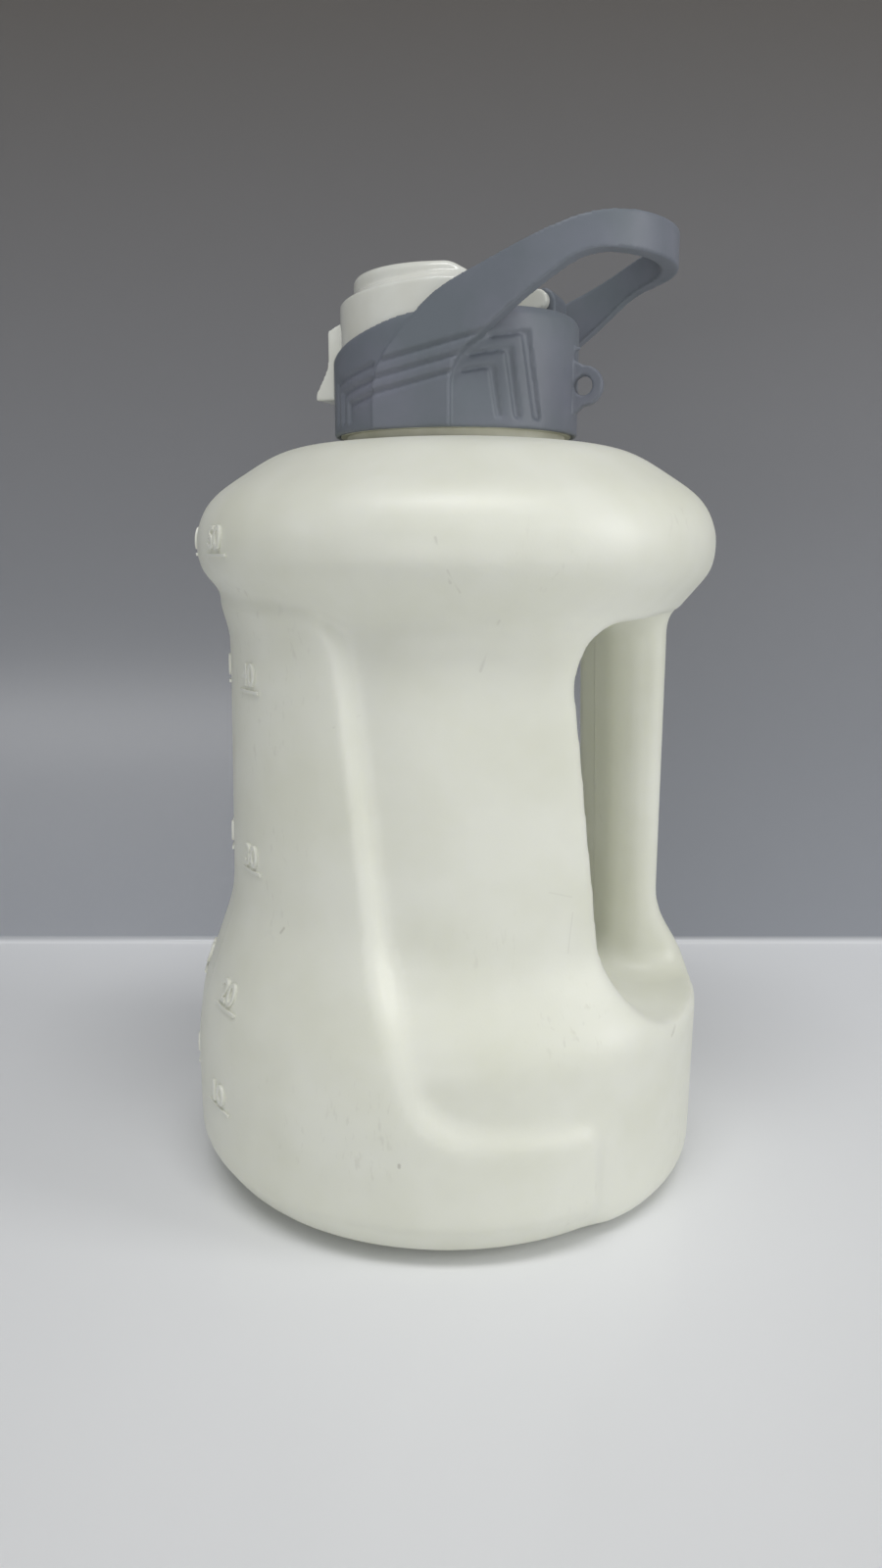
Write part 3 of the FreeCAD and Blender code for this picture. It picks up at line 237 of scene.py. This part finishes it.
def makeSleevePlastic():
    # Injection-moulded TPE: an even blue-grey with a lilac cast, satin, a very fine matt grain,
    # and palms have left it a little lighter and shinier in patches.
    how = sleevePlastic
    material, tree = newMaterial("TPE moulded")
    place = addNode(tree, "ShaderNodeTexCoord").outputs["Object"]
    cloud = addNode(tree, "ShaderNodeTexNoise", {
        "Vector": place, "Scale": 1 / (how["wearSize"] * mm), "Detail": 3.0})
    colour = addNode(tree, "ShaderNodeValToRGB", {"Fac": cloud.outputs["Fac"]}, stops=[
        (how["wearStops"][0], how["body"]), (how["wearStops"][1], how["worn"])])
    sheen = addNode(tree, "ShaderNodeMapRange", {
        "Value": cloud.outputs["Fac"],
        "From Min": how["sheenStops"][0], "From Max": how["sheenStops"][1],
        "To Min": how["roughness"][1], "To Max": how["roughness"][0]})
    grain = addNode(tree, "ShaderNodeTexNoise", {
        "Vector": place, "Scale": 1 / (how["grainSize"] * mm), "Detail": 1.0})
    bump = addNode(tree, "ShaderNodeBump", {
        "Height": grain.outputs["Fac"], "Distance": how["grainDepth"] * mm, "Strength": 0.6})
    shader = addNode(tree, "ShaderNodeBsdfPrincipled", {
        "Base Color": colour.outputs["Color"], "Roughness": sheen.outputs["Result"],
        "Normal": bump.outputs["Normal"], "IOR": 1.5})
    addNode(tree, "ShaderNodeOutputMaterial", {"Surface": shader.outputs["BSDF"]})
    return material


lidPlastic = {
    "body": "#E2E3DB", "shade": "#DADAD0", "wearSize": 12, "shadeStops": (0.3, 0.65),
    "roughness": (0.07, 0.14), "sheenStops": (0.3, 0.7), "sinkDepth": 0.05, "scatter": 2,
}


def makeLidPlastic():
    # Injection-moulded polypropylene from a polished tool: warm white and glossy, a little duller
    # in patches from wear, over the shallow sinks of a thick moulding.
    how = lidPlastic
    material, tree = newMaterial("Polypropylene moulded gloss")
    place = addNode(tree, "ShaderNodeTexCoord").outputs["Object"]
    cloud = addNode(tree, "ShaderNodeTexNoise", {
        "Vector": place, "Scale": 1 / (how["wearSize"] * mm), "Detail": 4.0})
    colour = addNode(tree, "ShaderNodeValToRGB", {"Fac": cloud.outputs["Fac"]}, stops=[
        (how["shadeStops"][0], how["shade"]), (how["shadeStops"][1], how["body"])])
    sheen = addNode(tree, "ShaderNodeMapRange", {
        "Value": cloud.outputs["Fac"],
        "From Min": how["sheenStops"][0], "From Max": how["sheenStops"][1],
        "To Min": how["roughness"][0], "To Max": how["roughness"][1]})
    sink = addNode(tree, "ShaderNodeBump", {
        "Height": cloud.outputs["Fac"], "Distance": how["sinkDepth"] * mm, "Strength": 0.25})
    shader = addNode(tree, "ShaderNodeBsdfPrincipled", {
        "Base Color": colour.outputs["Color"], "Roughness": sheen.outputs["Result"],
        "Normal": sink.outputs["Normal"], "IOR": 1.49, "Subsurface Weight": 0.1,
        "Subsurface Radius": (1.0, 1.0, 0.85), "Subsurface Scale": how["scatter"] * mm})
    addNode(tree, "ShaderNodeOutputMaterial", {"Surface": shader.outputs["BSDF"]})
    return material


# the ring's body colour is the lid's white made deeper and yellower: painted shade from under the
# sleeve
ringPlasticPaintedShade = {
    "body": "#D5D4C4", "shade": "#C6C5B2", "cloudSize": 8, "shadeStops": (0.3, 0.6),
    "roughness": 0.48, "grainSize": 0.5, "grainDepth": 0.02,
}


def makeRingPlasticPaintedShade():
    # Injection-moulded polypropylene from a sand-blasted tool: a deeper cream than the lid, and matt.
    # The deeper cream is painted shade, for the shade that falls on the ring under the sleeve.
    how = ringPlasticPaintedShade
    material, tree = newMaterial("Polypropylene moulded matt, painted shade")
    place = addNode(tree, "ShaderNodeTexCoord").outputs["Object"]
    cloud = addNode(tree, "ShaderNodeTexNoise", {
        "Vector": place, "Scale": 1 / (how["cloudSize"] * mm), "Detail": 3.0})
    colour = addNode(tree, "ShaderNodeValToRGB", {"Fac": cloud.outputs["Fac"]}, stops=[
        (how["shadeStops"][0], how["shade"]), (how["shadeStops"][1], how["body"])])
    grain = addNode(tree, "ShaderNodeTexNoise", {
        "Vector": place, "Scale": 1 / (how["grainSize"] * mm)})
    bump = addNode(tree, "ShaderNodeBump", {
        "Height": grain.outputs["Fac"], "Distance": how["grainDepth"] * mm, "Strength": 0.5})
    shader = addNode(tree, "ShaderNodeBsdfPrincipled", {
        "Base Color": colour.outputs["Color"], "Roughness": how["roughness"],
        "Normal": bump.outputs["Normal"]})
    addNode(tree, "ShaderNodeOutputMaterial", {"Surface": shader.outputs["BSDF"]})
    return material


hdpe = makeJugPlastic()
tpe = makeSleevePlastic()
glossyPp = makeLidPlastic()
mattPpPaintedShade = makeRingPlasticPaintedShade()
print("materials made")


# skins: copies of the solids, remeshed in small cubes so that their edges can be rounded

def mergedCopy(nodeName, pieceName):
    piece = nodes[nodeName].copy()
    piece.data = nodes[nodeName].data.copy()
    piece.name = piece.data.name = pieceName
    piece.parent = None
    for key in list(piece.keys()):
        del piece[key]
    bpy.context.collection.objects.link(piece)
    pickOnly(piece)
    if piece.data.has_custom_normals:
        bpy.ops.mesh.customdata_custom_splitnormals_clear()
    bpy.ops.object.mode_set(mode="EDIT")
    bpy.ops.mesh.select_all(action="SELECT")
    bpy.ops.mesh.remove_doubles(threshold=weldGap)
    bpy.ops.object.mode_set(mode="OBJECT")
    return piece


# Points along the edges where two faces meet at more than this angle.
def sharpPoints(piece, degrees, spacing):
    mesh = piece.data
    meeting = {}
    for face in mesh.polygons:
        for key in face.edge_keys:
            meeting.setdefault(key, []).append(face.normal.copy())
    limit = math.radians(degrees)
    points = []
    for (a, b), normals in meeting.items():
        if len(normals) == 2 and normals[0].length > 0 and normals[1].length > 0:
            if normals[0].angle(normals[1], 0) > limit:
                start, end = mesh.vertices[a].co, mesh.vertices[b].co
                count = max(1, round((end - start).length / spacing))
                points += [start.lerp(end, k / count) for k in range(count + 1)]
    return points


# Rounds a remeshed piece near the given points only, so its broad faces keep their shape.
def softEdges(piece, points, reach, rounds):
    tree = kdtree.KDTree(len(points))
    for index, point in enumerate(points):
        tree.insert(point, index)
    tree.balance()
    group = piece.vertex_groups.new(name="rims")
    for vertex in piece.data.vertices:
        distance = tree.find(vertex.co)[2]
        if distance < reach:
            group.add([vertex.index], 1 - distance / reach, "REPLACE")
    applyModifier(piece, "SMOOTH", factor=0.5, iterations=rounds, vertex_group="rims")
    piece.vertex_groups.clear()


# voxel, spacing and reach are in millimetres and sharp in degrees. rounds is how often the rims are
# smoothed. calm takes the remesh's fine steps off the whole skin: how much, and how often.
def makeSkin(nodeName, how, material):
    piece = mergedCopy(nodeName, how["name"])
    edges = sharpPoints(piece, how["sharp"], how["spacing"] * mm)
    if "levels" in how:
        lowest, highest = how["levels"]
        edges = [p for p in edges if lowest * mm < p.z < highest * mm]
    applyModifier(piece, "REMESH", mode="VOXEL", voxel_size=how["voxel"] * mm)
    softEdges(piece, edges, how["reach"] * mm, how["rounds"])
    applyModifier(piece, "SMOOTH", factor=how["calm"][0], iterations=how["calm"][1])
    smoothShade(piece)
    dress(piece, material)
    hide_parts(nodeName)
    print(how["name"], len(piece.data.polygons), "faces")
    return piece


# the jug: levels keeps the foot's edge and the neck's as they are
jugSkin = {
    "name": "jug_skin", "voxel": 1.15, "sharp": 32, "spacing": 1.0, "levels": (3, 174),
    "reach": 4.2, "rounds": 14, "calm": (0.5, 2),
}

jug = makeSkin("jug", jugSkin, hdpe)


# raised measuring marks on the front panel: a column on each side of its middle

marks = {
    "columns": (194.0, 166.0),   # headings in degrees
    "levels": {"50": 151.8, "40": 122.0, "30": 80.6, "20": 48.7, "10": 24.6},
    "textSize": 6.86, "textRound": 0.18, "gap": 1.4,
    "bar": (10.5, 0.7), "barCuts": 7, "barRound": 0.12, "lift": 0.52, "sink": 0.5, "smooth": 35,
}


# Lays a flat piece, in millimetres, on the jug's skin: x runs round it, y up it, z out of it.
def wrapOnJug(piece, surface, heading, level):
    for vertex in piece.data.vertices:
        hit, out = pointOn(surface, heading, vertex.co.x, level + vertex.co.y)
        vertex.co = hit + out * vertex.co.z * mm
    piece.matrix_world.identity()


def makeMark(number, heading, level, surface):
    thick = marks["lift"] + marks["sink"]
    bpy.ops.object.select_all(action="DESELECT")
    bpy.ops.object.text_add()
    text = bpy.context.object
    text.data.body = number
    text.data.size = marks["textSize"]
    text.data.align_x = "CENTER"
    text.data.offset_y = marks["gap"]
    text.data.extrude = thick / 2
    text.data.bevel_depth = marks["textRound"]
    bpy.ops.object.convert(target="MESH")
    digits = bpy.context.object
    bpy.ops.mesh.primitive_cube_add(size=1)
    bar = bpy.context.object
    bar.scale = (*marks["bar"], thick)
    bpy.ops.object.transform_apply(location=False, rotation=False, scale=True)
    bpy.ops.object.mode_set(mode="EDIT")
    bpy.ops.mesh.subdivide(number_cuts=marks["barCuts"])
    bpy.ops.object.mode_set(mode="OBJECT")
    applyModifier(bar, "BEVEL", width=marks["barRound"], segments=2, limit_method="ANGLE")
    pickOnly(bar, digits)
    bpy.ops.object.join()
    piece = bpy.context.object
    for vertex in piece.data.vertices:
        vertex.co.z -= (marks["sink"] - marks["lift"]) / 2
    wrapOnJug(piece, surface, heading, level)
    piece.name = piece.data.name = "mark_%s_%d" % (number, heading)
    smoothShade(piece, marks["smooth"])
    dress(piece, hdpe)


jugSurface = surfaceOf(jug)
for heading in marks["columns"]:
    for number, level in marks["levels"].items():
        makeMark(number, heading, level, jugSurface)
print("marks laid on the panel")


# the cap: skins for the sleeve and the lid, and the core as it is

sleeveSkin = {
    "name": "sleeve_skin", "voxel": 0.42, "sharp": 30, "spacing": 0.3,
    "reach": 0.6, "rounds": 1, "calm": (0.3, 1),
}
lidSkin = {
    "name": "lid_skin", "voxel": 0.38, "sharp": 30, "spacing": 0.3,
    "reach": 0.8, "rounds": 3, "calm": (0.3, 1),
}

makeSkin("cap_sleeve", sleeveSkin, tpe)
makeSkin("flip_lid", lidSkin, glossyPp)
# the core's ring takes the matt polypropylene, whose deeper cream is painted shade
for slot in nodes["cap_base"].material_slots:
    slot.material = mattPpPaintedShade


# stage, light and camera: the stage and the lamps are in metres, the camera's place in millimetres

camera = {
    "place": (-90.5, -267.1, 153.8), "heading": 18.0, "down": 11.8,
    "lens": 26.2, "film": 36, "nearest": 0.01,
}

# a closed room with rounded corners, whose far wall stands close behind the jug; its colour turns
# from floor to wall between the levels turnLow and turnHigh, and then slowly darkens up to rise
# the wall's slow darkening up to rise, towards its top colour, is painted shade: less light falls on it
# higher up
stage = {
    "floor": "#EDEEEF", "wall": "#979AA0", "top": "#5C5956",
    "turnLow": 0.00034, "turnHigh": 0.00204, "rise": 0.34,
    "near": -1.6, "far": 0.148, "half": 1.6, "high": 1.5, "bend": 0.0025, "foot": 0.0005,
    "roughness": 0.17,
}


# Painted sheet, satin: a faint mirror of the jug in the floor. Above foot it is clear to all that
# crosses it towards the camera's side, so the sky lights the room from there, and the jug can be
# seen from behind the far wall.
def makeStageMaterial():
    material, tree = newMaterial("Painted sheet satin")
    place = addNode(tree, "ShaderNodeTexCoord").outputs["Object"]
    height = addNode(tree, "ShaderNodeSeparateXYZ", {"Vector": place}).outputs["Z"]
    rise = addNode(tree, "ShaderNodeMapRange", {"Value": height, "From Max": stage["rise"]})
    # above turnHigh the colour darkens towards the top colour: painted shade
    colour = addNode(tree, "ShaderNodeValToRGB", {"Fac": rise.outputs["Result"]}, stops=[
        (stage["turnLow"] / stage["rise"], stage["floor"]),
        (stage["turnHigh"] / stage["rise"], stage["wall"]), (1.0, stage["top"])])
    shader = addNode(tree, "ShaderNodeBsdfPrincipled", {
        "Base Color": colour.outputs["Color"], "Roughness": stage["roughness"], "IOR": 1.4})
    turn = math.radians(camera["heading"])
    front = (-math.sin(turn), -math.cos(turn), 0)
    incoming = addNode(tree, "ShaderNodeNewGeometry").outputs["Incoming"]
    facing = addNode(tree, "ShaderNodeVectorMath", {0: incoming, 1: front}, operation="DOT_PRODUCT")
    fromBehind = addNode(tree, "ShaderNodeMath", {0: facing.outputs["Value"], 1: 0.0},
                         operation="LESS_THAN")
    upright = addNode(tree, "ShaderNodeMath", {0: height, 1: stage["foot"]}, operation="GREATER_THAN")
    hidden = addNode(tree, "ShaderNodeMath", {
        0: fromBehind.outputs["Value"], 1: upright.outputs["Value"]}, operation="MULTIPLY")
    clear = addNode(tree, "ShaderNodeBsdfTransparent")
    oneSided = addNode(tree, "ShaderNodeMixShader", {
        0: hidden.outputs["Value"], 1: shader.outputs["BSDF"], 2: clear.outputs["BSDF"]})
    addNode(tree, "ShaderNodeOutputMaterial", {"Surface": oneSided.outputs["Shader"]})
    return material


def makeStage():
    bpy.ops.object.select_all(action="DESELECT")
    bpy.ops.mesh.primitive_plane_add(size=1)
    sweep = bpy.context.object
    sweep.name = sweep.data.name = "studio_sweep"
    bpy.ops.object.mode_set(mode="EDIT")
    bpy.ops.mesh.select_all(action="SELECT")
    bpy.ops.transform.resize(value=(2 * stage["half"], stage["far"] - stage["near"], 1))
    bpy.ops.transform.translate(value=(0, (stage["far"] + stage["near"]) / 2, 0))
    bpy.ops.mesh.extrude_region_move(TRANSFORM_OT_translate={"value": (0, 0, stage["high"])})
    bpy.ops.object.mode_set(mode="OBJECT")
    applyModifier(sweep, "BEVEL", width=stage["bend"], segments=5, limit_method="ANGLE")
    smoothShade(sweep)
    # turned so that the wall stands square to the camera
    sweep.rotation_euler = (0, 0, -math.radians(camera["heading"]))
    bpy.ops.object.transform_apply(location=False, rotation=True, scale=False)
    sweep.data.materials.append(makeStageMaterial())


lamps = {
    "overhead": {"place": (-0.14, -0.42, 1.1), "size": (0.85, 0.22), "watts": 5.3, "aim": (0, 0, 0.1)},
    "right": {"place": (0.8, -0.6, 0.4), "size": (0.3, 0.6), "watts": 3.1, "aim": (0, 0, 0.1)},
    "left": {"place": (-0.55, -0.9, 0.07), "size": (0.9, 0.1), "watts": 1.75, "aim": (0, 0, 0.02)},
}


def makeLamps():
    for name, how in lamps.items():
        light = bpy.data.lights.new(name, "AREA")
        light.shape = "RECTANGLE"
        light.size, light.size_y = how["size"]
        light.energy = how["watts"]
        lamp = bpy.data.objects.new(name, light)
        lamp.location = how["place"]
        lamp.rotation_euler = (Vector(how["aim"]) - lamp.location).to_track_quat("-Z", "Y").to_euler()
        bpy.context.collection.objects.link(lamp)


def makeCamera():
    view = bpy.data.cameras.new("camera")
    view.sensor_fit = "VERTICAL"
    view.sensor_height = camera["film"]
    view.lens = camera["lens"]
    view.clip_start = camera["nearest"]
    eye = bpy.data.objects.new("camera", view)
    eye.location = Vector(camera["place"]) * mm
    eye.rotation_euler = (math.radians(90 - camera["down"]), 0, -math.radians(camera["heading"]))
    bpy.context.collection.objects.link(eye)
    bpy.context.scene.camera = eye


room = {"colour": "#E4E6EA", "strength": 0.41}


def makeRoom():
    world = bpy.data.worlds.new("studio")
    world.use_nodes = True
    tree = world.node_tree
    tree.nodes.clear()
    sky = addNode(tree, "ShaderNodeBackground", {
        "Color": linearColour(room["colour"]), "Strength": room["strength"]})
    addNode(tree, "ShaderNodeOutputWorld", {"Surface": sky.outputs["Background"]})
    bpy.context.scene.world = world


makeStage()
makeLamps()
makeCamera()
makeRoom()
bpy.context.scene.view_settings.view_transform = "Standard"
print("stage, lamps and camera set")
